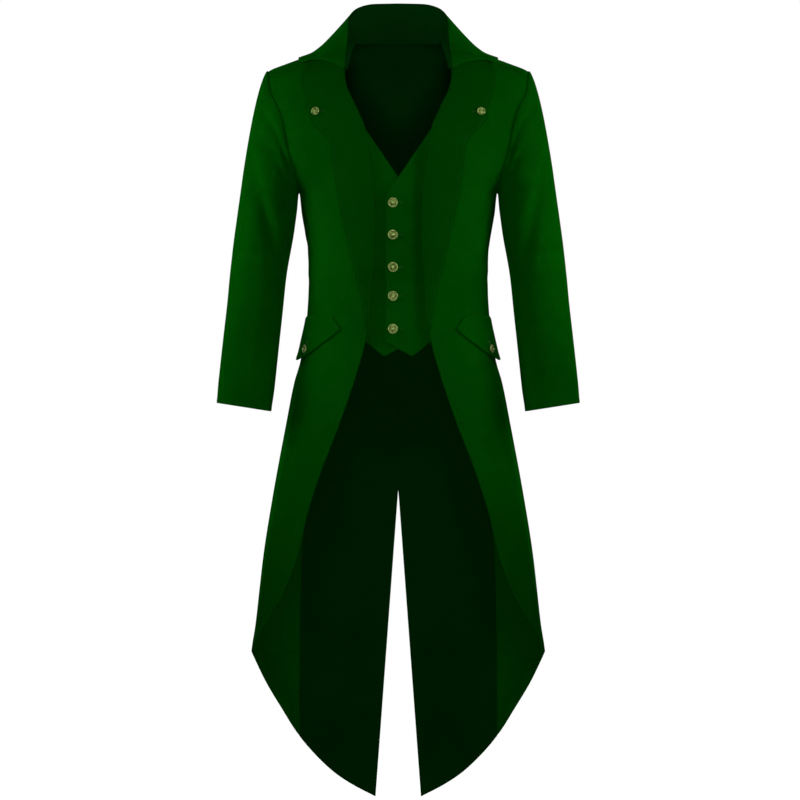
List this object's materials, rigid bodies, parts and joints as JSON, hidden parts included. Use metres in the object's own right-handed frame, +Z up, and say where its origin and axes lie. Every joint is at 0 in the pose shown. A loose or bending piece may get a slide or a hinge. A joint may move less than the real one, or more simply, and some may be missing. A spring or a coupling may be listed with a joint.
{
  "type": "tailcoat with a sewn-in waistcoat front",
  "caption": "Dark green tailcoat filled out as if worn: high turned-down collar, buttoned-back revers, waistcoat front, cutaway skirts and two pointed tails.",
  "frame": {"origin": "midway between the shoulders, which carry the coat, just under the neck points", "axes": "+Z up, -Y to the front of the coat, +X to the wearer's left"},
  "size_m": [0.653, 0.2694, 1.4256],
  "materials": {
    "cloth": "matt, fine twill",
    "facing": "matt, fine twill",
    "lining": "smooth, dull",
    "brass": "aged, darkened"
  },
  "bodies": {
    "root": {"forepart_left": "cloth", "forepart_right": "cloth", "side_body_left": "cloth", "side_body_right": "cloth", "back_left": "cloth", "back_right": "cloth", "skirt_left": "cloth", "skirt_right": "cloth", "back_lining_left": "lining", "back_lining_right": "lining", "revers_left": "facing", "revers_right": "facing", "upper_sleeve_left": "cloth", "upper_sleeve_right": "cloth", "under_sleeve_left": "cloth", "under_sleeve_right": "cloth", "pocket_flap_left": "cloth", "pocket_flap_right": "cloth", "collar_stand": "lining", "collar_fall": "cloth", "waistcoat_right": "cloth", "waistcoat_left": "cloth", "waistcoat_button_1": "brass", "waistcoat_button_2": "brass", "waistcoat_button_3": "brass", "waistcoat_button_4": "brass", "waistcoat_button_5": "brass", "revers_button_left": "brass", "revers_button_right": "brass", "flap_button_left": "brass", "flap_button_right": "brass"}
  },
  "joints": []
}
